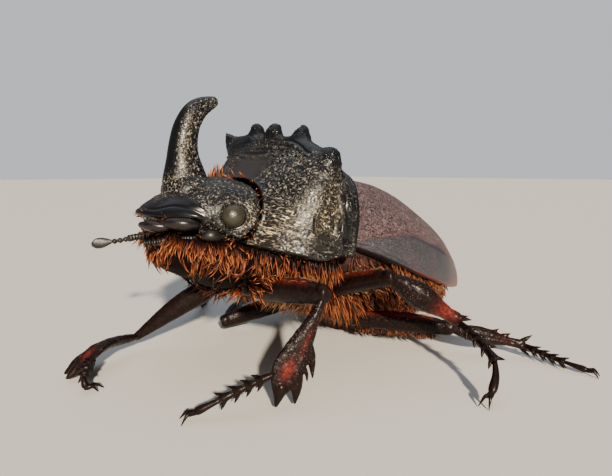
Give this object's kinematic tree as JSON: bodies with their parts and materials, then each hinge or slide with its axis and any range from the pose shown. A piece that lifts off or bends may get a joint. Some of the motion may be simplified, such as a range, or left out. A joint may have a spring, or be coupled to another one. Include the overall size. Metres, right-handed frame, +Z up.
{
  "type": "rhinoceros beetle",
  "caption": "Life-size still model of a male rhinoceros beetle standing on six legs, with a curved head horn, a knobbed pronotum, closed wing cases and a bristly underside.",
  "frame": {"origin": "on the floor, under the middle of the beetle's bounding box", "axes": "the head faces -Y, the beetle's left side is +X, +Z is up"},
  "size_m": [0.0446, 0.0444, 0.0238],
  "materials": {
    "black_shell": "glossy pitted black cuticle",
    "brown_shell": "satin, finely wrinkled red-brown cuticle",
    "leg_shell": "glossy black-brown cuticle with dark red areas",
    "bristle_coat": "dense orange-brown bristles over dark skin",
    "eye_lens": "smooth dark olive dome"
  },
  "bodies": {
    "root": {"head": "black_shell", "horn": "black_shell", "chin": "bristle_coat", "pronotum": "black_shell", "prosternum": "bristle_coat", "breast": "bristle_coat", "belly": "bristle_coat", "scutellum": "black_shell", "eye_left": "eye_lens", "eye_right": "eye_lens", "mandible_left": "black_shell", "mandible_right": "black_shell", "palp_left": "leg_shell", "palp_right": "leg_shell", "antenna_left": "leg_shell", "antenna_right": "leg_shell", "club_left": "leg_shell", "club_right": "leg_shell", "elytron_left": "brown_shell", "elytron_right": "brown_shell", "fore_left_coxa": "leg_shell", "fore_left_femur": "leg_shell", "fore_left_tibia": "leg_shell", "fore_left_tarsus": "leg_shell", "fore_left_claws": "leg_shell", "fore_right_coxa": "leg_shell", "fore_right_femur": "leg_shell", "fore_right_tibia": "leg_shell", "fore_right_tarsus": "leg_shell", "fore_right_claws": "leg_shell", "mid_left_coxa": "leg_shell", "mid_left_femur": "leg_shell", "mid_left_tibia": "leg_shell", "mid_left_tarsus": "leg_shell", "mid_left_claws": "leg_shell", "mid_right_coxa": "leg_shell", "mid_right_femur": "leg_shell", "mid_right_tibia": "leg_shell", "mid_right_tarsus": "leg_shell", "mid_right_claws": "leg_shell", "hind_left_coxa": "leg_shell", "hind_left_femur": "leg_shell", "hind_left_tibia": "leg_shell", "hind_left_tarsus": "leg_shell", "hind_left_claws": "leg_shell", "hind_right_coxa": "leg_shell", "hind_right_femur": "leg_shell", "hind_right_tibia": "leg_shell", "hind_right_tarsus": "leg_shell", "hind_right_claws": "leg_shell"}
  },
  "joints": []
}
